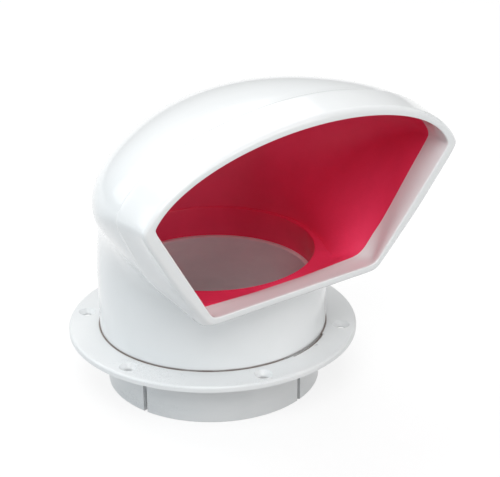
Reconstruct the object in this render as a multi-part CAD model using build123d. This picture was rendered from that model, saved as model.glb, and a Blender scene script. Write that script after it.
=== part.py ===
from build123d import *
from math import atan2, cos, hypot, pi, radians, sin
import os

os.makedirs("parts", exist_ok=True)

# Origin: vent axis at the deck plane, which is the underside of the deck plate.
# +Z points up, and the mouth of the cowl faces -Y.

# Deck plate
flange_ledge = 16.3
flange_thickness = 3.0
flange_edge_fillet = 1.3
skirt_outer_radius = 56.4
skirt_wall = 2.2
skirt_seam_degrees = 7.5
skirt_depth = 28.4
skirt_edge_chamfer = 0.5
plate_turn = 15.4
screw_count = 6
screw_out_from_neck = 8.3
screw_hole_radius = 2.4
countersink_radius = 4.6
countersink_angle = 90
finger_slot_count = 4
finger_slot_width = 2.4
finger_slot_start = 1.0
ledge_height = 1.2
ledge_width = 1.9
pry_gap_centre = -85.3
pry_gap_span = 28.7
pry_gap_width = 1.7
pry_gap_depth = 1.3
pry_step_span = 5.0
weep_hole_radius = 0.7
weep_out_from_neck = 2.8
weep_hole_angle = -83.5

# Fits
running_gap = 0.05
loose_gap = 0.3
bond_gap = 0.08
overcut = 1.0
same_place = 0.01

# Cowl neck and hood
neck_wall = 6.2
neck_edge_chamfer = 0.6
lining_thickness = 0.8
throat_inset = 0.4
bend_height = 33.1
pivot_ahead_of_neck = 9.6
mouth_lean = 9.86
lip_above_pivot = 13.0
mouth_centre_above_lip = 59.0
mouth_half_width = 88.7
mouth_bottom_half_width = 51.0
mouth_arch_height = 31.8
mouth_corner_sharpness = 30
underside_above_pivot = 8.0
floor_above_pivot = 11.6
floor_rise = 1.2
shoulder_width = 1.5
floor_corner_sharpness = 5
back_bulge = 1.5
back_bulge_skew = 7.0
flank_bulge = 8.5
flank_bulge_skew = 13.7
crown_end_slope = -7.0
flank_end_slope = 19.5
wall_at_mouth = 3.2
band_height = 1.8
band_depth = 22.0
band_fade_start = -0.35
band_fade_end = -0.75
band_low_height = 0.45
band_lower_end = 52.0
band_stations = (0.64, 0.76, 0.88, 1.0)
rim_fillet = 1.6
white_lip_depth = 12.5
lower_corner_degrees = (-79, -68, -59, -54, -51.5, -49.2, -47, -44, -38, -29)
upper_corner_degrees = (-18, -9, -4, 0, 4, 9, 17, 28, 40, 53, 66, 78)
hood_step_count = 7
cavity_end = 1.04

# Neck collar
collar_wall = 2.7
collar_top = 27.9
collar_land_length = 3.0
collar_edge_chamfer = 0.5
groove_width = 2.4
groove_height = 1.3
seal_thickness = 1.7
seal_edge_chamfer = 0.4

# Insect screen
frame_height = 2.6
frame_rim_width = 2.6
frame_bar_width = 2.0
frame_bar_height = 1.4
frame_hub_radius = 5.0
mesh_thickness = 0.4

right_side_degrees = lower_corner_degrees + upper_corner_degrees
left_side_degrees = [180 - degree for degree in reversed(right_side_degrees)]
section_angles = [radians(degree) for degree in (-90, *right_side_degrees, 90, *left_side_degrees)]
bore_radius = skirt_outer_radius - skirt_wall
throat_radius = bore_radius - throat_inset
neck_radius = throat_radius + neck_wall
flange_radius = neck_radius + flange_ledge
screw_circle_radius = neck_radius + screw_out_from_neck
weep_circle_radius = neck_radius + weep_out_from_neck
collar_inner_radius = bore_radius - collar_wall
pivot_y = -neck_radius - pivot_ahead_of_neck
bend_angle = radians(90 + mouth_lean)
hood_bore_radius = throat_radius + lining_thickness + bond_gap
mouth_lower_y = pivot_y - lip_above_pivot * sin(radians(mouth_lean))
mouth_lower_z = bend_height + lip_above_pivot * cos(radians(mouth_lean))
collar_outer_radius = hood_bore_radius - bond_gap
plug_radius = bore_radius - loose_gap
groove_radius = bore_radius - 2 * running_gap - seal_thickness
frame_bottom = -skirt_depth + ledge_height
frame_radius = bore_radius - loose_gap
collar_bottom = frame_bottom + frame_height + loose_gap
hood_stations = [k / hood_step_count for k in range(hood_step_count + 1)]
cavity_stations = [station * cavity_end for station in hood_stations]
space = 8 * neck_radius
mouth_plane = Plane(
    origin=(0, mouth_lower_y, mouth_lower_z),
    x_dir=(1, 0, 0),
    z_dir=(0, -cos(radians(mouth_lean)), -sin(radians(mouth_lean))),
)


def ease(t, start, end, start_slope, end_slope):
    rise = 3 * t**2 - 2 * t**3
    start_part = start_slope * (t**3 - 2 * t**2 + t)
    return start * (1 - rise) + end * rise + start_part + end_slope * (t**3 - t**2)


def mouth_reach(angle, offset):
    # Distance from the mouth's centre to its outline: an arch over a trapezoid.
    half_width = mouth_half_width + offset
    arch = mouth_arch_height + offset
    lean = atan2(mouth_bottom_half_width - mouth_half_width, mouth_centre_above_lip)
    side = cos(lean) * mouth_half_width + offset
    power = mouth_corner_sharpness
    ellipse = hypot(cos(angle) / half_width, max(sin(angle), 0) / arch)
    right = max(cos(angle - lean), 0) / side
    left = max(cos(angle - pi + lean), 0) / side
    lower = max(-sin(angle), 0) / (mouth_centre_above_lip + offset)
    return (ellipse**power + right**power + left**power + lower**power) ** (-1 / power)


def front_distance(turn, neck, floor):
    # From the bend line to the front of the section: up the neck, then out along the floor.
    neck_gap = -neck - pivot_y
    if turn >= pi / 2:
        return floor / sin(turn)
    power = floor_corner_sharpness
    return ((cos(turn) / neck_gap) ** power + (sin(turn) / floor) ** power) ** (-1 / power)


def section_centre(t):
    turn = bend_angle * t
    distance = -pivot_y * (1 - t) + (lip_above_pivot + mouth_centre_above_lip) * t
    return Vector(0, pivot_y + distance * cos(turn), bend_height + distance * sin(turn))


def hood_points(t, neck, offset, floor):
    # t runs from 0 at the top of the round neck to 1 at the mouth.
    turn = bend_angle * t
    bump = 16 * t**2 * (1 - t) ** 2
    skew = bump * (2 * t - 1)
    mouth_top = lip_above_pivot + mouth_centre_above_lip + mouth_arch_height + offset
    back = ease(t, neck - pivot_y, mouth_top, 0, crown_end_slope)
    back += back_bulge * bump + back_bulge_skew * skew
    width = ease(t, neck, mouth_half_width + offset, 0, flank_end_slope)
    width += flank_bulge * bump + flank_bulge_skew * skew
    front = front_distance(turn, neck, floor)
    centre = -pivot_y * (1 - t) + (lip_above_pivot + mouth_centre_above_lip) * t
    blend = 3 * t**2 - 2 * t**3
    points = []
    for angle in section_angles:
        reach = mouth_reach(angle, offset)
        across = reach * cos(angle) / (mouth_half_width + offset)
        if sin(angle) > 0:
            along = reach * sin(angle) / (mouth_arch_height + offset)
        else:
            along = reach * sin(angle) / (mouth_centre_above_lip + offset)
        across = (1 - blend) * cos(angle) + blend * across
        along = (1 - blend) * sin(angle) + blend * along
        if along > 0:
            distance = centre + along * (back - centre)
        else:
            distance = centre + along * (centre - front)
        y = pivot_y + distance * cos(turn)
        z = bend_height + distance * sin(turn)
        points.append(Vector(width * across, y, z))
    return points


def closed_wire(points):
    steps = [(angle - section_angles[0]) / (2 * pi) for angle in section_angles] + [1]
    return Wire([Edge.make_spline(points, periodic=True, parameters=steps)])


def neck_wire(height, radius):
    points = [Vector(radius * cos(angle), radius * sin(angle), height) for angle in section_angles]
    return closed_wire(points)


def bend_form(neck, offset, floor, floor_end, stations):
    # The bend from the round neck to the mouth.
    wires = [neck_wire(bend_height, neck)]
    for t in stations[1:]:
        wires.append(closed_wire(hood_points(t, neck, offset, floor + (floor_end - floor) * t)))
    return Solid.make_loft(wires)


def band_form():
    # The raised band behind the rim, lower where it runs down the flanks.
    wires = []
    for t in band_stations:
        centre = section_centre(t)
        points = hood_points(t, neck_radius, wall_at_mouth, underside_above_pivot)
        grown = []
        for angle, point in zip(section_angles, points):
            fade = min(max((sin(angle) - band_fade_end) / (band_fade_start - band_fade_end), 0), 1)
            growth = band_height * fade + band_low_height * (1 - fade)
            grown.append(point + (point - centre).normalized() * growth)
        wires.append(closed_wire(grown))
    return Solid.make_loft(wires)


def mouth_slab(near, far):
    # The space between two depths behind the mouth.
    slab = mouth_plane.offset(-near) * Rectangle(space, space)
    return extrude(slab, amount=-(far - near))


def space_below(height):
    return Pos(0, 0, height) * Box(space, space, space, align=(Align.CENTER, Align.CENTER, Align.MAX))


def upright(low, high, radius):
    return Pos(0, 0, low) * Cylinder(radius, high - low, align=(Align.CENTER, Align.CENTER, Align.MIN))


def lies_in_mouth(edge):
    # True for an edge that lies in the plane of the mouth.
    for share in (0.1, 0.5, 0.9):
        offset = edge.position_at(share) - mouth_plane.origin
        if abs(offset.dot(mouth_plane.z_dir)) > same_place:
            return False
    return True


def edges_at(body, height):
    return [edge for edge in body.edges() if abs(edge.center().Z - height) < same_place]


def air_form(growth, bottom, near, far):
    # The air passage grown outward: a bore up to the floor, and the bend between two depths behind the mouth.
    floor = floor_above_pivot - growth
    radius = throat_radius + growth
    bend = bend_form(radius + shoulder_width, growth, floor, floor + floor_rise, cavity_stations)
    bend = (bend - space_below(bend_height + floor)) & mouth_slab(near, far)
    return upright(bottom, bend_height + floor, radius) + bend


def make_cowl_hood():
    underside = underside_above_pivot
    neck_ends = [neck_wire(flange_thickness, neck_radius), neck_wire(bend_height, neck_radius)]
    body = Solid.make_loft(neck_ends, ruled=True)
    body += bend_form(neck_radius, wall_at_mouth, underside, underside, hood_stations)
    band = (band_form() & mouth_slab(-overcut, band_depth)) - space_below(band_lower_end)
    body += band
    body = fillet(body.edges().filter_by(lies_in_mouth), rim_fillet)
    body -= air_form(0, collar_top, -overcut, white_lip_depth)
    recess = lining_thickness + bond_gap
    body -= air_form(recess, flange_thickness - overcut, white_lip_depth, space)
    outer_edge = max(edges_at(body, flange_thickness), key=lambda edge: edge.length)
    return chamfer(outer_edge, neck_edge_chamfer)


def make_red_lining():
    skin = air_form(lining_thickness, collar_top + running_gap, white_lip_depth, space)
    return skin - air_form(0, collar_top - overcut, -overcut, space)


def make_neck_collar():
    # A sleeve that is bonded in the cowl's neck above and plugs into the deck plate below.
    sleeve = upright(flange_thickness, collar_top, collar_outer_radius)
    sleeve += upright(collar_bottom, flange_thickness, plug_radius)
    sleeve += upright(collar_bottom, collar_bottom + collar_land_length, bore_radius - running_gap)
    groove_low = groove_height - groove_width / 2
    groove_high = groove_height + groove_width / 2
    groove = upright(groove_low, groove_high, plug_radius + overcut)
    sleeve -= groove - upright(groove_low, groove_high, groove_radius)
    sleeve -= upright(collar_bottom - overcut, collar_top + overcut, collar_inner_radius)
    ends = edges_at(sleeve, collar_top) + edges_at(sleeve, collar_bottom)
    return chamfer(ends, collar_edge_chamfer)


def make_seal_ring():
    # A square-cut rubber ring in the collar's groove.
    low = groove_height - seal_thickness / 2
    high = groove_height + seal_thickness / 2
    ring = upright(low, high, bore_radius - running_gap)
    ring -= upright(low, high, groove_radius + running_gap)
    return chamfer(ring.edges(), seal_edge_chamfer)


def pie(span, radius):
    end = (radius * cos(radians(span)), radius * sin(radians(span)))
    middle = (radius * cos(radians(span / 2)), radius * sin(radians(span / 2)))
    outline = Line((0, 0), (radius, 0)) + ThreePointArc((radius, 0), middle, end) + Line(end, (0, 0))
    return make_face(outline)


def neck_recess(width, start, span):
    # A shallow cut into the plate's top beside the neck, between two angles.
    low = flange_thickness - pry_gap_depth
    wedge = Rot(0, 0, start) * extrude(pie(span, neck_radius + width), amount=pry_gap_depth + overcut)
    ring = Pos(0, 0, low) * wedge
    return ring - upright(low, flange_thickness + overcut, neck_radius - overcut)


def make_deck_plate():
    plate = upright(0, flange_thickness, flange_radius)
    plate = fillet(edges_at(plate, flange_thickness), flange_edge_fillet)
    plate += Rot(0, 0, skirt_seam_degrees) * upright(-skirt_depth, 0, skirt_outer_radius)
    plate = chamfer(edges_at(plate, -skirt_depth), skirt_edge_chamfer)
    plate -= upright(-skirt_depth + ledge_height, flange_thickness + overcut, bore_radius)
    plate -= upright(-skirt_depth - overcut, 0, bore_radius - ledge_width)

    screw = CounterSinkHole(screw_hole_radius, countersink_radius, flange_thickness, countersink_angle)
    top = PolarLocations(screw_circle_radius, screw_count, start_angle=0)
    for place in top:
        plate -= place * Pos(0, 0, flange_thickness) * screw

    below_top = (Align.CENTER, Align.CENTER, Align.MAX)
    slot_length = 2 * (skirt_outer_radius + overcut)
    slot = Box(slot_length, finger_slot_width, skirt_depth - finger_slot_start + overcut, align=below_top)
    for k in range(finger_slot_count // 2):
        plate -= Pos(0, 0, -finger_slot_start) * Rot(0, 0, k * 360 / finger_slot_count) * slot

    gap_start = pry_gap_centre - pry_gap_span / 2
    plate -= neck_recess(pry_gap_width, gap_start, pry_gap_span)
    plate -= neck_recess(pry_gap_width / 2, gap_start - pry_step_span, pry_step_span)
    weep = upright(-overcut, flange_thickness + overcut, weep_hole_radius)
    plate -= Rot(0, 0, weep_hole_angle) * Pos(weep_circle_radius, 0, 0) * weep
    return Rot(0, 0, plate_turn) * plate


def make_screen_frame():
    frame = upright(frame_bottom, frame_bottom + frame_height, frame_radius)
    frame -= upright(frame_bottom, frame_bottom + frame_height, frame_radius - frame_rim_width)
    above_bottom = (Align.CENTER, Align.CENTER, Align.MIN)
    bar_length = 2 * frame_radius - frame_rim_width
    bar = Box(bar_length, frame_bar_width, frame_bar_height, align=above_bottom)
    for angle in (0, 90):
        frame += Pos(0, 0, frame_bottom) * Rot(0, 0, angle) * bar
    frame += upright(frame_bottom, frame_bottom + frame_bar_height, frame_hub_radius)
    return Rot(0, 0, plate_turn + 45) * frame


def make_screen_mesh():
    bottom = frame_bottom + frame_bar_height
    return upright(bottom, bottom + mesh_thickness, frame_radius - frame_rim_width)


parts = {
    "cowl_hood": make_cowl_hood,
    "red_lining": make_red_lining,
    "neck_collar": make_neck_collar,
    "seal_ring": make_seal_ring,
    "deck_plate": make_deck_plate,
    "screen_frame": make_screen_frame,
    "screen_mesh": make_screen_mesh,
}
for name, make in parts.items():
    export_step(make(), f"parts/{name}.step")
    print(name, "built")
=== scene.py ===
import bmesh
import bpy
from math import asin, atan2, cos, pi, radians, sin, sqrt
from mathutils import Matrix, Quaternion, Vector


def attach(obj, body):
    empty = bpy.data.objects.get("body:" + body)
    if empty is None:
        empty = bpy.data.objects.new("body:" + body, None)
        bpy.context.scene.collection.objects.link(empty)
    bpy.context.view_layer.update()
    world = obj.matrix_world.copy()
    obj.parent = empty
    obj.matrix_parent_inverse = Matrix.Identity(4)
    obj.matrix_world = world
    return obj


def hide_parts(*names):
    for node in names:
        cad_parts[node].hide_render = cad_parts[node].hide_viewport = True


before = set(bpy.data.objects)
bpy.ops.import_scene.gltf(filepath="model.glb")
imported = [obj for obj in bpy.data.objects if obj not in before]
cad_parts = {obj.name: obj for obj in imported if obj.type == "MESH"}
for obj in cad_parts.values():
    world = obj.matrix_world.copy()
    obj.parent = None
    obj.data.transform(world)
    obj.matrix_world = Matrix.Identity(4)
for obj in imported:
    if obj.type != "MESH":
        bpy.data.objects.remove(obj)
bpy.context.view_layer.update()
mm = 0.001

# Camera, at the photograph's angle
cameraSet = {
    "place": (-0.4333, -0.6052, 0.3726),
    "lookAt": (0.0164, -0.0118, 0.0487),
    "rollDegrees": -0.52,
    "lens": 112.0,
    "sensor": 36.0,
}
cameraData = bpy.data.cameras.new("camera")
cameraData.lens = cameraSet["lens"]
cameraData.sensor_width = cameraSet["sensor"]
cameraData.sensor_fit = "HORIZONTAL"
cameraData.clip_start = 0.01
cameraData.clip_end = 50
camera = bpy.data.objects.new("camera", cameraData)
bpy.context.scene.collection.objects.link(camera)
camera.location = cameraSet["place"]
sight = Vector(cameraSet["lookAt"]) - Vector(cameraSet["place"])
roll = Quaternion((0, 0, 1), radians(cameraSet["rollDegrees"]))
camera.rotation_mode = "QUATERNION"
camera.rotation_quaternion = sight.to_track_quat("-Z", "Y") @ roll
bpy.context.scene.camera = camera
print("camera placed")


# Shader maths: a Link is a socket, and an expression on Links adds its Math nodes
class Link:
    def __init__(self, tree, socket=None):
        self.tree = tree
        self.socket = socket

    def plug(self, socket, value):
        if isinstance(value, Link):
            self.tree.links.new(value.socket, socket)
        elif value is not None:
            socket.default_value = value

    def node(self, kind, settings=None, inputs=None, out=0):
        made = self.tree.nodes.new(kind)
        for name, value in (settings or {}).items():
            setattr(made, name, value)
        for name, value in (inputs or {}).items():
            self.plug(made.inputs[name], value)
        return Link(self.tree, made.outputs[out])

    def maths(self, operation, first, second=None):
        return self.node("ShaderNodeMath", {"operation": operation}, {0: first, 1: second})

    def __add__(self, other):
        return self.maths("ADD", self, other)

    __radd__ = __add__

    def __sub__(self, other):
        return self.maths("SUBTRACT", self, other)

    def __rsub__(self, other):
        return self.maths("SUBTRACT", other, self)

    def __mul__(self, other):
        return self.maths("MULTIPLY", self, other)

    __rmul__ = __mul__

    def clamp(self):
        return self.node("ShaderNodeClamp", None, {"Value": self})

    def ramp(self, low, high, lowLevel=0, highLevel=1):
        # a soft step between two levels, while this value goes from low to high
        values = {
            "Value": self, "From Min": low, "From Max": high,
            "To Min": lowLevel, "To Max": highLevel,
        }
        return self.node("ShaderNodeMapRange", {"interpolation_type": "SMOOTHSTEP"}, values)

    def centred(self, width):
        # turns a value round 0.5 into one round 0
        return (self - 0.5) * width

    def mix(self, first, second):
        # inputs 6 and 7 and output 2 are the colours
        inputs = {"Factor": self, 6: first, 7: second}
        return self.node("ShaderNodeMix", {"data_type": "RGBA"}, inputs, 2)

    def tint(self, look):
        # from the shade to the full colour, by this value
        return self.mix((*look["shade"], 1), (*look["colour"], 1))

    def over(self, base, colour):
        # this value lays a plain colour over another colour
        return self.mix(base, (*colour, 1))

    def axes(self):
        return [self.node("ShaderNodeSeparateXYZ", None, {"Vector": self}, k) for k in range(3)]

    def cells(self, feature, scale):
        values = {"Vector": self, "Scale": scale}
        return self.node("ShaderNodeTexVoronoi", {"feature": feature}, values)


def noise(at, scale, detail, roughness, stretch=None):
    if stretch:
        at = at.node("ShaderNodeMapping", None, {"Vector": at, "Scale": stretch})
    values = {"Vector": at, "Scale": scale, "Detail": detail, "Roughness": roughness}
    return at.node("ShaderNodeTexNoise", None, values)


def objectPlace(start):
    return start.node("ShaderNodeTexCoord", None, None, "Object")


def newMaterial(name):
    material = bpy.data.materials.new(name)
    material.use_nodes = True
    shader = material.node_tree.nodes["Principled BSDF"]
    start = Link(material.node_tree)
    return material, shader, start, objectPlace(start)


def finishMaterial(shader, start, look, colour, roughness, height):
    start.plug(shader.inputs["Base Color"], colour)
    start.plug(shader.inputs["Roughness"], roughness)
    bump = {"Strength": look["bumpStrength"], "Distance": look["bumpDistance"], "Height": height}
    start.plug(shader.inputs["Normal"], start.node("ShaderNodeBump", None, bump))
    shader.inputs["IOR"].default_value = look["ior"]
    shader.inputs["Coat Weight"].default_value = look.get("coat", 0)
    shader.inputs["Coat Roughness"].default_value = look.get("coatRoughness", 0.1)


# The shape of the cowl, in millimetres
cowl = {
    "neckRadius": 60.0,
    "neckBottom": 3.0,
    "neckEdge": 0.6,
    "bendHeight": 33.1,
    "pivotAheadOfNeck": 9.6,
    "mouthLean": 9.86,
    "lipAbovePivot": 13.0,
    "mouthCentreAboveLip": 59.0,
    "mouthHalfWidth": 88.7,
    "mouthBottomHalfWidth": 51.0,
    "mouthArchHeight": 31.8,
    "archLowering": 7.0,  # how far the arch's own centre lies below its ends
    "archLoweringStart": 0.8,
    "lipCornerSharpness": 54,
    "sideCornerSharpness": 120,
    "floorFlattening": 3,
    "floorSharpness": 5,
    "backBulge": 1.5,
    "backBulgeSkew": 7.0,
    "flankBulge": 10.0,
    "flankBulgeSkew": 13.7,
    "crownEndSlope": -7.0,
    "flankEndSlope": 19.5,
    "swellBetween": (-0.85, 0.15),  # sines of the lowest and highest angle
    "swellFade": 0.25,
    "swellAlong": (0.6, 0.95),
    "bandHeight": 1.8,
    "bandFade": (-0.75, -0.35),
    "rimRadius": 2.4,
    "lipEdge": 0.7,
    "leastRimFlat": 0.1,
    "lipDepths": (13.0, 15.0, 24.0),  # at the floor, at the side corners and under the crown
    "lipBendStart": 1.0,
    "lipBend": 12.0,
    "lipTopShare": 0.6,
    "floorHeight": 11.6,
    "throatRadius": 53.8,
    "throatEdge": 0.6,
    "collarTop": 27.9,
    "collarGap": 0.05,
    "liningThickness": 0.8,
    "bondGap": 0.08,
    "pointsRound": 300,
    "pointsAtCorners": 3.0,
    "cornerSpanDegrees": 4.0,
}
outerWall = {
    "neck": cowl["neckRadius"],
    "offset": 3.2,
    "floor": 8.0,
    "floorRise": 0.0,
    "swell": 2.4,
}
innerWall = {
    "neck": 55.3,
    "offset": 0.0,
    "floor": cowl["floorHeight"],
    "floorRise": 1.2,
    "swell": 0.0,
}

halvings = 22  # steps of each search
pastMouth = 1.02  # how far a search along the bend goes, where the mouth is at 1
mergeDistance = 0.000002  # in metres
sharpDegrees = 40  # edges over this angle are sharp
lean = radians(cowl["mouthLean"])
bendAngle = radians(90 + cowl["mouthLean"])
pivotY = -cowl["neckRadius"] - cowl["pivotAheadOfNeck"]
inward = Vector((0, cos(lean), sin(lean)))
mouthY = pivotY - cowl["lipAbovePivot"] * sin(lean)
mouthZ = cowl["bendHeight"] + cowl["lipAbovePivot"] * cos(lean)
mouthOrigin = Vector((0, mouthY, mouthZ))
mouthCentre = cowl["lipAbovePivot"] + cowl["mouthCentreAboveLip"]
sideInset = cowl["mouthBottomHalfWidth"] - cowl["mouthHalfWidth"]
slant = atan2(sideInset, cowl["mouthCentreAboveLip"])
lipCorner = atan2(-cowl["mouthCentreAboveLip"], cowl["mouthBottomHalfWidth"])


def solve(low, high, isPast):
    # the place between low and high where isPast turns true
    for _ in range(halvings):
        middle = (low + high) / 2
        if isPast(middle):
            high = middle
        else:
            low = middle
    return high


def spacedAngles():
    # points round the passage, closer together at the corners of the mouth
    def crowd(angle):
        span = radians(cowl["cornerSpanDegrees"])
        total = angle
        for corner in (lipCorner, 0, pi, pi - lipCorner):
            total += cowl["pointsAtCorners"] * span * atan2(angle - corner, span)
        return total

    low = -pi / 2
    high = 3 * pi / 2
    count = cowl["pointsRound"]
    spaced = []
    for k in range(count):
        goal = crowd(low) + (crowd(high) - crowd(low)) * k / count
        spaced.append(solve(low, high, lambda angle: crowd(angle) > goal))
    return spaced


angles = spacedAngles()


def smooth(share):
    share = min(max(share, 0), 1)
    return 3 * share**2 - 2 * share**3


def ease(t, start, end, startSlope, endSlope):
    rise = 3 * t**2 - 2 * t**3
    bent = startSlope * (t**3 - 2 * t**2 + t) + endSlope * (t**3 - t**2)
    return start * (1 - rise) + end * rise + bent


def mouthReach(angle, offset, lowering=cowl["archLowering"]):
    # from the mouth's centre to its outline, an arch over a trapezoid
    halfWidth = cowl["mouthHalfWidth"] + offset
    side = cos(slant) * cowl["mouthHalfWidth"] + offset
    arch = cos(angle) / halfWidth
    if sin(angle) > 0:
        # an ellipse whose centre lies below the mouth's widest line
        tall = cowl["mouthArchHeight"] + offset + lowering
        wide = halfWidth / cos(asin(lowering / tall))
        square = (cos(angle) / wide) ** 2 + (sin(angle) / tall) ** 2
        lift = sin(angle) * lowering / tall**2
        arch = square / (-lift + sqrt(lift**2 - square * ((lowering / tall) ** 2 - 1)))
    right = max(cos(angle - slant), 0) / side
    left = max(cos(angle - pi + slant), 0) / side
    lower = max(-sin(angle), 0) / (cowl["mouthCentreAboveLip"] + offset)
    power = cowl["lipCornerSharpness"]
    straight = (right**power + left**power + lower**power) ** (1 / power)
    power = cowl["sideCornerSharpness"]
    return (abs(arch) ** power + straight**power) ** (-1 / power)


def flankSwell(angle, t, wall):
    # the straight flanks are thicker towards the rim
    low, high = cowl["swellBetween"]
    start, end = cowl["swellAlong"]
    fade = cowl["swellFade"]
    flank = smooth((sin(angle) - low) / fade) * smooth((high - sin(angle)) / fade)
    return wall["swell"] * flank * smooth((t - start) / (end - start))


def floorReach(swing, neck, floor):
    # from the bend's pivot line to the passage's lower side
    if swing >= pi / 2:
        return floor / sin(swing)
    power = cowl["floorSharpness"]
    upright = (cos(swing) / (-neck - pivotY)) ** power
    flat = (sin(swing) / floor) ** power
    return (upright + flat) ** (-1 / power)


def onSpoke(x, distance, swing):
    # a point at a distance from the pivot line, on the spoke that swings from the neck to the mouth
    y = pivotY + distance * cos(swing)
    return Vector((x, y, cowl["bendHeight"] + distance * sin(swing)))


def bendPoint(angle, t, wall, growth=0):
    # t is 0 at the top of the round neck and 1 at the mouth
    neck = wall["neck"] + growth
    offset = wall["offset"] + growth
    floor = wall["floor"] - growth + wall["floorRise"] * t
    swing = bendAngle * t
    bump = 16 * t**2 * (1 - t) ** 2
    skew = bump * (2 * t - 1)
    top = mouthCentre + cowl["mouthArchHeight"] + offset
    back = ease(t, neck - pivotY, top, 0, cowl["crownEndSlope"])
    back += cowl["backBulge"] * bump + cowl["backBulgeSkew"] * skew
    width = ease(t, neck, cowl["mouthHalfWidth"] + offset, 0, cowl["flankEndSlope"])
    width += cowl["flankBulge"] * bump + cowl["flankBulgeSkew"] * skew
    width += flankSwell(angle, t, wall)
    front = floorReach(swing, neck, floor)
    centre = -pivotY * (1 - t) + mouthCentre * t
    start = cowl["archLoweringStart"]
    lowering = cowl["archLowering"] * smooth((t - start) / (1 - start))
    reach = mouthReach(angle, offset, lowering)
    height = cowl["mouthArchHeight"] if sin(angle) > 0 else cowl["mouthCentreAboveLip"]
    across = reach * cos(angle) / (cowl["mouthHalfWidth"] + offset)
    along = reach * sin(angle) / (height + offset)
    blend = 3 * t**2 - 2 * t**3
    across = (1 - blend) * cos(angle) + blend * across
    if along < 0:
        blend = 1 - (1 - blend) ** cowl["floorFlattening"]
    along = (1 - blend) * sin(angle) + blend * along
    distance = centre + along * (back - centre if along > 0 else centre - front)
    return onSpoke(width * across, distance, swing)


def depthOf(point):
    return (point - mouthOrigin).dot(inward)


def stepAtDepth(angle, wall, depth, growth=0, low=0.0):
    return solve(low, pastMouth, lambda t: depthOf(bendPoint(angle, t, wall, growth)) < depth)


def bandGrowth(angle):
    low, high = cowl["bandFade"]
    return cowl["bandHeight"] * smooth((sin(angle) - low) / (high - low))


def bandPoint(angle, t, growth):
    # the outside, grown away from the passage's centre line
    point = bendPoint(angle, t, outerWall)
    centre = onSpoke(0, -pivotY * (1 - t) + mouthCentre * t, bendAngle * t)
    return point + (point - centre).normalized() * growth


def bandStepAtDepth(angle, growth, depth):
    return solve(0, pastMouth, lambda t: depthOf(bandPoint(angle, t, growth)) < depth)


def roundPoint(angle, radius, height):
    return Vector((radius * cos(angle), radius * sin(angle), height))


def roundRing(radius, height):
    return [roundPoint(angle, radius, height) for angle in angles]


def floorStep(angle, growth=0):
    # where the inner wall rises out of the flat floor round the throat
    level = cowl["bendHeight"] + cowl["floorHeight"] - growth
    return solve(0, 1, lambda t: bendPoint(angle, t, innerWall, growth).z > level)


def innerPoint(angle, depth, growth=0):
    # at a depth behind the mouth, on the inner wall, or on the floor where the wall ends sooner
    start = floorStep(angle, growth)
    edge = bendPoint(angle, start, innerWall, growth)
    if depthOf(edge) > depth:
        step = stepAtDepth(angle, innerWall, depth, growth, start)
        return bendPoint(angle, step, innerWall, growth)
    throat = roundPoint(angle, cowl["throatRadius"] + cowl["throatEdge"] + growth, edge.z)
    share = (depth - depthOf(edge)) / (depthOf(throat) - depthOf(edge))
    return edge.lerp(throat, share)


def lipDepth(angle):
    # how far the white lip reaches into the mouth: least along the floor, most under the crown
    low, side, top = cowl["lipDepths"]
    height = mouthReach(angle, 0) * sin(angle)
    if height < 0:
        rise = height + cowl["mouthCentreAboveLip"] - cowl["lipBendStart"]
        return low + (side - low) * smooth(rise / cowl["lipBend"])
    return side + (top - side) * smooth(height / cowl["mouthArchHeight"] / cowl["lipTopShare"])


def quarter(steps):
    return [pi / 2 * k / steps for k in range(steps + 1)]


def ringMesh(name, rings):
    # a grid wrapped round the rings of points, and from the last ring back to the first
    rows = rings + rings[:1]
    mesh = bmesh.new()
    bmesh.ops.create_grid(mesh, x_segments=len(rings[0]), y_segments=len(rings), size=1)
    points = [point for row in rows for point in row + row[:1]]
    for vertex, point in zip(mesh.verts, points):
        vertex.co = point * mm
    bmesh.ops.remove_doubles(mesh, verts=mesh.verts, dist=mergeDistance)
    bmesh.ops.recalc_face_normals(mesh, faces=mesh.faces)
    return finishPiece(name, mesh)


def finishPiece(name, mesh):
    for face in mesh.faces:
        face.smooth = True
    for edge in mesh.edges:
        turn = edge.calc_face_angle(0)
        edge.smooth = len(edge.link_faces) == 2 and turn < radians(sharpDegrees)
    data = bpy.data.meshes.new(name)
    mesh.to_mesh(data)
    mesh.free()
    piece = bpy.data.objects.new(name, data)
    bpy.context.scene.collection.objects.link(piece)
    return piece


# Cowl hood, as rings of points: the neck by heights, and the rest by depths behind the mouth
hoodRows = {
    "neckEdgeSteps": 3,
    "neck": (6, 12, 18, 24, 29),
    "bendSteps": 34,
    "leastBend": 0.42,  # along the bend, where the band may begin
    "leastStep": 0.002,  # along the bend, from one ring to the next
    "creaseDepth": 22.6,
    "crease": (  # depths, with the band's share of its full height
        (22.3, 0.02), (22.1, 0.1), (21.95, 0.28), (21.8, 0.48),
        (21.5, 0.68), (21.0, 0.84), (20.3, 0.94), (19.2, 1.0),
    ),
    "band": (17.5, 15, 12, 9, 6.5, 4.2, 2.9),
    "rimSteps": 8,
    "lipSteps": 4,
    "lip": (0.15, 0.3, 0.45, 0.6, 0.75, 0.88, 1.0),
    "recessSteps": 16,
    "throatEdgeSteps": 4,
}


def neckRings():
    radius = cowl["neckRadius"]
    edge = cowl["neckEdge"]
    rings = []
    for step in quarter(hoodRows["neckEdgeSteps"]):
        height = cowl["neckBottom"] + edge * (1 - cos(step))
        rings.append(roundRing(radius - edge * (1 - sin(step)), height))
    for height in hoodRows["neck"]:
        rings.append(roundRing(radius, height))
    return rings


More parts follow.
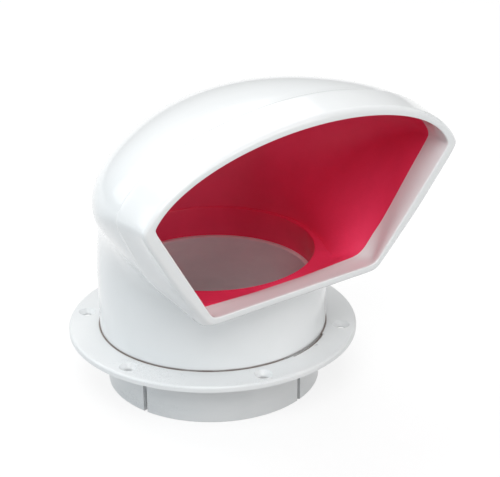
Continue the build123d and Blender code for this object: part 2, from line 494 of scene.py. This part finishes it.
def bendAndBandRings():
    rings = []
    least = hoodRows["leastBend"]
    depth = hoodRows["creaseDepth"]
    steps = [max(stepAtDepth(angle, outerWall, depth), least) for angle in angles]
    for k in range(hoodRows["bendSteps"] + 1):
        share = k / hoodRows["bendSteps"]
        pairs = zip(angles, steps)
        rings.append([bendPoint(angle, step * share, outerWall) for angle, step in pairs])
    for depth, share in hoodRows["crease"] + tuple((depth, 1.0) for depth in hoodRows["band"]):
        ring = []
        for k, angle in enumerate(angles):
            growth = bandGrowth(angle) * share
            step = bandStepAtDepth(angle, growth, depth)
            steps[k] = max(step, steps[k] + hoodRows["leastStep"])
            ring.append(bandPoint(angle, steps[k], growth))
        rings.append(ring)
    return rings


def rimRings():
    # round the rim from the outside to the inner wall
    outer = cowl["rimRadius"]
    inner = cowl["lipEdge"]
    rows = []
    for step in quarter(hoodRows["rimSteps"]):
        rows.append((True, outer * (1 - cos(step)), outer * (1 - sin(step))))
    for step in quarter(hoodRows["lipSteps"]):
        rows.append((False, inner * (1 - sin(step)), inner * (1 - cos(step))))
    rings = []
    for fromOutside, across, depth in rows:
        ring = []
        for angle in angles:
            growth = bandGrowth(angle)
            outside = bandPoint(angle, bandStepAtDepth(angle, growth, depth), growth)
            inside = innerPoint(angle, depth)
            wall = (outside - inside).length
            if fromOutside:
                share = min(across / wall, 1 - (inner + cowl["leastRimFlat"]) / wall)
            else:
                share = 1 - across / wall
            ring.append(outside.lerp(inside, share))
        rings.append(ring)
    return rings


def lipRings():
    edge = cowl["lipEdge"]
    rings = []
    for share in hoodRows["lip"]:
        depths = [edge + (lipDepth(angle) - edge) * share for angle in angles]
        rings.append([innerPoint(angle, depth) for angle, depth in zip(angles, depths)])
    return rings


def insideRings(growth, steps, bottom):
    # the passage grown by a little, from the end of the white lip down to the throat
    starts = [floorStep(angle, growth) for angle in angles]
    ends = []
    for angle, start in zip(angles, starts):
        depth = lipDepth(angle)
        past = depthOf(bendPoint(angle, start, innerWall, growth)) <= depth
        ends.append(start if past else stepAtDepth(angle, innerWall, depth, growth, start))
    rings = []
    for k in range(steps + 1):
        share = k / steps
        ring = []
        for angle, start, end in zip(angles, starts, ends):
            if start == end:
                ring.append(innerPoint(angle, lipDepth(angle), growth))
            else:
                ring.append(bendPoint(angle, end + (start - end) * share, innerWall, growth))
        rings.append(ring)
    floor = cowl["bendHeight"] + cowl["floorHeight"] - growth
    radius = cowl["throatRadius"] + growth
    edge = cowl["throatEdge"]
    for step in quarter(hoodRows["throatEdgeSteps"]):
        rings.append(roundRing(radius + edge * (1 - sin(step)), floor - edge * (1 - cos(step))))
    rings.append(roundRing(radius, (floor + bottom) / 2))
    rings.append(roundRing(radius, bottom))
    return rings


recess = cowl["liningThickness"] + cowl["bondGap"]
hoodRings = neckRings() + bendAndBandRings() + rimRings() + lipRings()
hoodRings += insideRings(recess, hoodRows["recessSteps"], cowl["neckBottom"])
hood = ringMesh("cowlHood", hoodRings)
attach(hood, "cowl")
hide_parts("cowl_hood")
print("hood made", len(hood.data.polygons))

# Red lining
liningRows = {"innerSteps": 34, "outerSteps": 16}
liningBottom = cowl["collarTop"] + cowl["collarGap"]
liningRings = insideRings(0, liningRows["innerSteps"], liningBottom)
outerRings = insideRings(cowl["liningThickness"], liningRows["outerSteps"], liningBottom)
lining = ringMesh("redLining", liningRings + outerRings[::-1])
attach(lining, "cowl")
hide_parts("red_lining")
print("lining made", len(lining.data.polygons))

# Insect net, in millimetres
net = {"pitch": 1.8, "strand": 0.3, "radius": 51.3, "height": -25.6, "turnDegrees": 15.4}


def makeNet():
    radius = net["radius"] * mm
    count = int(2 * net["radius"] / net["pitch"])
    mesh = bmesh.new()
    size = count * net["pitch"] / 2 * mm
    bmesh.ops.create_grid(mesh, x_segments=count, y_segments=count, size=size)
    outside = [face for face in mesh.faces if face.calc_center_median().length > radius]
    bmesh.ops.delete(mesh, geom=outside, context="FACES")
    for vertex in mesh.verts:
        if vertex.co.length > radius:
            vertex.co *= radius / vertex.co.length
        vertex.co.z = net["height"] * mm
    bmesh.ops.wireframe(
        mesh, faces=mesh.faces, thickness=net["strand"] * mm,
        use_replace=True, use_boundary=True, use_even_offset=False,
    )
    turn = Matrix.Rotation(radians(net["turnDegrees"]), 3, "Z")
    bmesh.ops.rotate(mesh, verts=mesh.verts, cent=(0, 0, 0), matrix=turn)
    bmesh.ops.recalc_face_normals(mesh, faces=mesh.faces)
    return finishPiece("insectNet", mesh)


insectNet = makeNet()
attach(insectNet, "base")
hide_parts("screen_mesh")
print("net made", len(insectNet.data.polygons))

# White soft PVC of the hood: glossy and a little wavy, with a dark blotchy band at the foot, of
# dirt and painted seam shade
whitePvc = {
    "colour": (0.82, 0.835, 0.84),
    "shade": (0.785, 0.805, 0.81),
    "cloud": (14, 4, 0.55),  # each noise has scale, detail, roughness and perhaps a stretch
    "cloudRange": (0.3, 0.7),
    "wave": (20, 1, 0.3),
    "pores": (1400, 2, 0.6),
    "poreHeight": 0.02,
    "patches": (90, 3, 0.6),
    # a dark brown for the foot's band: dirt, and painted shade where the hood meets the plate
    "seamDirtAndShade": (0.20, 0.15, 0.13),
    "seamHeights": (0.003, 0.0042, 1, 0),  # from and to, with the levels there
    "seamPatches": (0.25, 0.6, 0.55, 1),
    "roughness": 0.14,
    "patchRoughness": 0.08,
    "poreRoughness": 0.06,
    "seamRoughness": 0.3,
    "ior": 1.5,
    "bumpStrength": 0.12,
    "bumpDistance": 0.0006,
    "coat": 0.25,
    "coatRoughness": 0.1,
}


def makeWhitePvc(look):
    material, shader, start, place = newMaterial("whitePvc")
    cloud = noise(place, *look["cloud"])
    wave = noise(place, *look["wave"])
    pores = noise(place, *look["pores"])
    patches = noise(place, *look["patches"])
    height = place.axes()[2]
    # painted seam shade and dirt: the lowest part of the neck is darkened in blotches
    seamDirtAndShade = height.ramp(*look["seamHeights"]) * patches.ramp(*look["seamPatches"])
    colour = seamDirtAndShade.over(cloud.ramp(*look["cloudRange"]).tint(look), look["seamDirtAndShade"])
    roughness = look["roughness"] + patches.centred(look["patchRoughness"])
    roughness += pores.centred(look["poreRoughness"])
    roughness += seamDirtAndShade * look["seamRoughness"]
    finishMaterial(shader, start, look, colour, roughness, wave + pores * look["poreHeight"])
    return material


# Red skin inside the cowl: satin, mottled and finely leathery
redPvc = {
    "colour": (0.90, 0.05, 0.14),
    "shade": (0.82, 0.042, 0.118),
    "mottle": (30, 5, 0.65),
    "mottleShare": 0.7,
    "streaks": (60, 3, 0.6, (1, 1, 0.15)),
    "blendRange": (0.3, 0.68),
    "leatherScale": 900,
    "leatherHeight": 0.6,
    "mottleHeight": 0.4,
    "roughness": 0.4,
    "mottleRoughness": 0.2,
    "streakRoughness": 0.12,
    "ior": 1.5,
    "bumpStrength": 0.25,
    "bumpDistance": 0.0002,
}


def makeRedPvc(look):
    material, shader, start, place = newMaterial("redPvc")
    mottle = noise(place, *look["mottle"])
    streaks = noise(place, *look["streaks"])
    leather = place.cells("SMOOTH_F1", look["leatherScale"])
    blend = mottle * look["mottleShare"] + streaks * (1 - look["mottleShare"])
    colour = blend.ramp(*look["blendRange"]).tint(look)
    roughness = look["roughness"] + mottle.centred(look["mottleRoughness"])
    roughness += streaks.centred(look["streakRoughness"])
    height = leather * look["leatherHeight"] + mottle * look["mottleHeight"]
    finishMaterial(shader, start, look, colour, roughness, height)
    return material


# Moulded ABS of the deck plate: satin, with dirt and painted shade in the seam round the neck
plateAbs = {
    "colour": (0.785, 0.795, 0.797),
    "shade": (0.75, 0.765, 0.77),
    "patches": (80, 3, 0.6),
    "flow": (22, 4, 0.6, (1, 1, 4)),
    "flowRange": (0.3, 0.7),
    "flowHeight": 0.5,
    "grain": (1800, 2, 0.6),
    "grainHeight": 0.2,
    "seamDirtAndShade": (0.22, 0.17, 0.15),
    "seamRadii": (0.0588, 0.0602, 0.061),  # clean, darkest and clean again
    "seamHeights": (0.0008, 0.0012),
    "seamPatches": (0.2, 0.55, 0.6, 1),
    "roughness": 0.3,
    "flowRoughness": 0.16,
    "grainRoughness": 0.08,
    "seamRoughness": 0.3,
    "ior": 1.5,
    "bumpStrength": 0.2,
    "bumpDistance": 0.0002,
}


def makePlateAbs(look):
    material, shader, start, place = newMaterial("plateAbs")
    x, y, z = place.axes()
    radius = x.maths("SQRT", x * x + y * y)
    patches = noise(place, *look["patches"])
    flow = noise(place, *look["flow"])
    grain = noise(place, *look["grain"])
    inside, middle, outside = look["seamRadii"]
    # a ring of dirt and painted seam shade on the plate, round the neck's foot
    ring = radius.ramp(inside, middle) * radius.ramp(middle, outside, 1, 0)
    seamDirtAndShade = ring * z.ramp(*look["seamHeights"]) * patches.ramp(*look["seamPatches"])
    colour = seamDirtAndShade.over(flow.ramp(*look["flowRange"]).tint(look), look["seamDirtAndShade"])
    roughness = look["roughness"] + flow.centred(look["flowRoughness"])
    roughness += grain.centred(look["grainRoughness"])
    roughness += seamDirtAndShade * look["seamRoughness"]
    height = grain * look["grainHeight"] + flow * look["flowHeight"]
    finishMaterial(shader, start, look, colour, roughness, height)
    return material


# Turned collar: fine rings round it
collarAbs = {
    "colour": (0.79, 0.80, 0.80),
    "shade": (0.74, 0.755, 0.76),
    "ringPitch": 0.0009,
    "ringHeight": 0.25,
    "smudge": (40, 4, 0.65, (1, 1, 3)),
    "smudgeRange": (0.3, 0.7),
    "smudgeHeight": 0.5,
    "roughness": 0.34,
    "smudgeRoughness": 0.2,
    "ior": 1.5,
    "bumpStrength": 0.25,
    "bumpDistance": 0.0001,
}


def makeCollarAbs(look):
    material, shader, start, place = newMaterial("collarAbs")
    z = place.axes()[2]
    rings = z.maths("SINE", z * (2 * pi / look["ringPitch"]))
    smudge = noise(place, *look["smudge"])
    colour = smudge.ramp(*look["smudgeRange"]).tint(look)
    roughness = look["roughness"] + smudge.centred(look["smudgeRoughness"])
    height = rings * look["ringHeight"] + smudge * look["smudgeHeight"]
    finishMaterial(shader, start, look, colour, roughness, height)
    return material


# Black rubber of the seal ring: matt, dusty and pitted
sealRubber = {
    "colour": (0.075, 0.073, 0.07),
    "shade": (0.018, 0.018, 0.018),
    "dust": (160, 5, 0.7),
    "dustRange": (0.5, 0.85),
    "dustHeight": 0.3,
    "pitScale": 1500,
    "pitHeight": 0.7,
    "roughness": 0.7,
    "dustRoughness": 0.3,
    "ior": 1.5,
    "bumpStrength": 0.5,
    "bumpDistance": 0.0002,
}


def makeSealRubber(look):
    material, shader, start, place = newMaterial("sealRubber")
    dust = noise(place, *look["dust"])
    pits = place.cells("F1", look["pitScale"])
    colour = dust.ramp(*look["dustRange"]).tint(look)
    roughness = look["roughness"] + dust.centred(look["dustRoughness"])
    height = pits * look["pitHeight"] + dust * look["dustHeight"]
    finishMaterial(shader, start, look, colour, roughness, height)
    return material


# Pebbled plastic of the screen's frame
screenPlastic = {
    "colour": (0.66, 0.67, 0.67),
    "shade": (0.57, 0.58, 0.58),
    "pebbleScale": 600,
    "stain": (35, 5, 0.7),
    "stainRange": (0.35, 0.7),
    "roughness": 0.5,
    "stainRoughness": 0.3,
    "pebbleRoughness": 0.1,
    "ior": 1.5,
    "bumpStrength": 0.4,
    "bumpDistance": 0.0002,
}


def makeScreenPlastic(look):
    material, shader, start, place = newMaterial("screenPlastic")
    pebbles = place.cells("SMOOTH_F1", look["pebbleScale"])
    stain = noise(place, *look["stain"])
    colour = stain.ramp(*look["stainRange"]).tint(look)
    roughness = look["roughness"] + stain.centred(look["stainRoughness"])
    roughness += pebbles.centred(look["pebbleRoughness"])
    finishMaterial(shader, start, look, colour, roughness, pebbles)
    return material


# Grey net: drawn threads, with dust on them
screenNet = {
    "colour": (0.27, 0.27, 0.28),
    "shade": (0.15, 0.15, 0.16),
    "dust": (120, 4, 0.7),
    "dustShare": 0.8,
    "fibres": (3000, 2, 0.5, (1, 0.2, 1)),
    "blendRange": (0.35, 0.7),
    "roughness": 0.55,
    "dustRoughness": 0.3,
    "fibreRoughness": 0.1,
    "ior": 1.5,
    "bumpStrength": 0.4,
    "bumpDistance": 0.00005,
}


def makeScreenNet(look):
    material, shader, start, place = newMaterial("screenNet")
    dust = noise(place, *look["dust"])
    fibres = noise(place, *look["fibres"])
    blend = dust * look["dustShare"] + fibres * (1 - look["dustShare"])
    colour = blend.ramp(*look["blendRange"]).tint(look)
    roughness = look["roughness"] + dust.centred(look["dustRoughness"])
    roughness += fibres.centred(look["fibreRoughness"])
    finishMaterial(shader, start, look, colour, roughness, fibres)
    return material


def dress(piece, material):
    piece.data.materials.clear()
    piece.data.materials.append(material)


def reslot(node, material):
    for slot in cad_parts[node].material_slots:
        slot.link = "OBJECT"
        slot.material = material


dress(hood, makeWhitePvc(whitePvc))
dress(lining, makeRedPvc(redPvc))
dress(insectNet, makeScreenNet(screenNet))
reslot("deck_plate", makePlateAbs(plateAbs))
reslot("neck_collar", makeCollarAbs(collarAbs))
reslot("seal_ring", makeSealRubber(sealRubber))
reslot("screen_frame", makeScreenPlastic(screenPlastic))
print("materials made")

# Floor and light; the floor shows white, with the vent's faint shadow
studio = {
    "floorHeight": -28.4,
    "floorSize": 6,
    "floor": {"colour": (0.45, 0.45, 0.45), "shade": (0.441, 0.441, 0.441)},
    "floorGrain": (60, 3, 0.5),
    "floorGlow": 0.5,
    "glowStrength": 1.58,
    "ambient": 0.38,
    "aim": (0, 0, 0.06),
    "softboxes": {
        "key": {"place": (-0.45, -0.65, 0.92), "size": (0.7, 0.7), "power": 7.0},
        "backTop": {"place": (0.13, 0.74, 1.3), "size": (1.8, 1.0), "power": 13.0},
        "backLeft": {
            "place": (-0.724, 0.862, 0.65), "size": (0.6, 0.6), "power": 1.2,
            "colour": (0.95, 0.98, 1),
        },
        "leftPanel": {
            "place": (-0.9, 0.1, 0.3), "size": (0.6, 0.6), "power": 2.0,
            "colour": (0.8, 0.92, 1),
        },
        "frontPanel": {"place": (0.3, -1.0, 0.2), "size": (0.7, 0.7), "power": 3.0},
    },
}


def emptyTree(owner):
    owner.use_nodes = True
    owner.node_tree.nodes.clear()
    return Link(owner.node_tree)


def seenBy(start, *rays):
    # 1 for these kinds of ray, and 0 for the rest
    total = start.node("ShaderNodeLightPath", None, None, rays[0])
    for ray in rays[1:]:
        total = total + start.node("ShaderNodeLightPath", None, None, ray)
    return total.clamp()


def makeFloor():
    mesh = bmesh.new()
    bmesh.ops.create_grid(mesh, x_segments=1, y_segments=1, size=studio["floorSize"])
    for vertex in mesh.verts:
        vertex.co.z = studio["floorHeight"] * mm
    piece = finishPiece("floor", mesh)
    material = bpy.data.materials.new("floor")
    start = emptyTree(material)
    rays = seenBy(start, "Is Camera Ray", "Is Glossy Ray", "Is Transmission Ray")
    grain = noise(objectPlace(start), *studio["floorGrain"])
    diffuse = start.node("ShaderNodeBsdfDiffuse", None, {"Color": grain.tint(studio["floor"])})
    glow = start.node("ShaderNodeEmission", None, {"Strength": studio["glowStrength"]})
    shares = {0: rays * studio["floorGlow"], 1: diffuse, 2: glow}
    mixed = start.node("ShaderNodeMixShader", None, shares)
    output = material.node_tree.nodes.new("ShaderNodeOutputMaterial")
    start.plug(output.inputs["Surface"], mixed)
    dress(piece, material)


def makeWorld():
    world = bpy.data.worlds.new("studio")
    start = emptyTree(world)
    rays = seenBy(start, "Is Camera Ray", "Is Transmission Ray")
    strength = rays * (1 - studio["ambient"]) + studio["ambient"]
    white = {"Color": (1, 1, 1, 1), "Strength": strength}
    output = world.node_tree.nodes.new("ShaderNodeOutputWorld")
    start.plug(output.inputs["Surface"], start.node("ShaderNodeBackground", None, white))
    bpy.context.scene.world = world


def addSoftbox(name, look):
    data = bpy.data.lights.new(name, "AREA")
    data.shape = "RECTANGLE"
    data.size, data.size_y = look["size"]
    data.energy = look["power"]
    data.color = look.get("colour", (1, 1, 1))
    lamp = bpy.data.objects.new(name, data)
    lamp.location = look["place"]
    lamp.rotation_mode = "QUATERNION"
    lamp.rotation_quaternion = (Vector(studio["aim"]) - lamp.location).to_track_quat("-Z", "Y")
    bpy.context.scene.collection.objects.link(lamp)


makeFloor()
makeWorld()
for name, look in studio["softboxes"].items():
    addSoftbox(name, look)
bpy.context.scene.view_settings.view_transform = "Standard"
print("studio made")
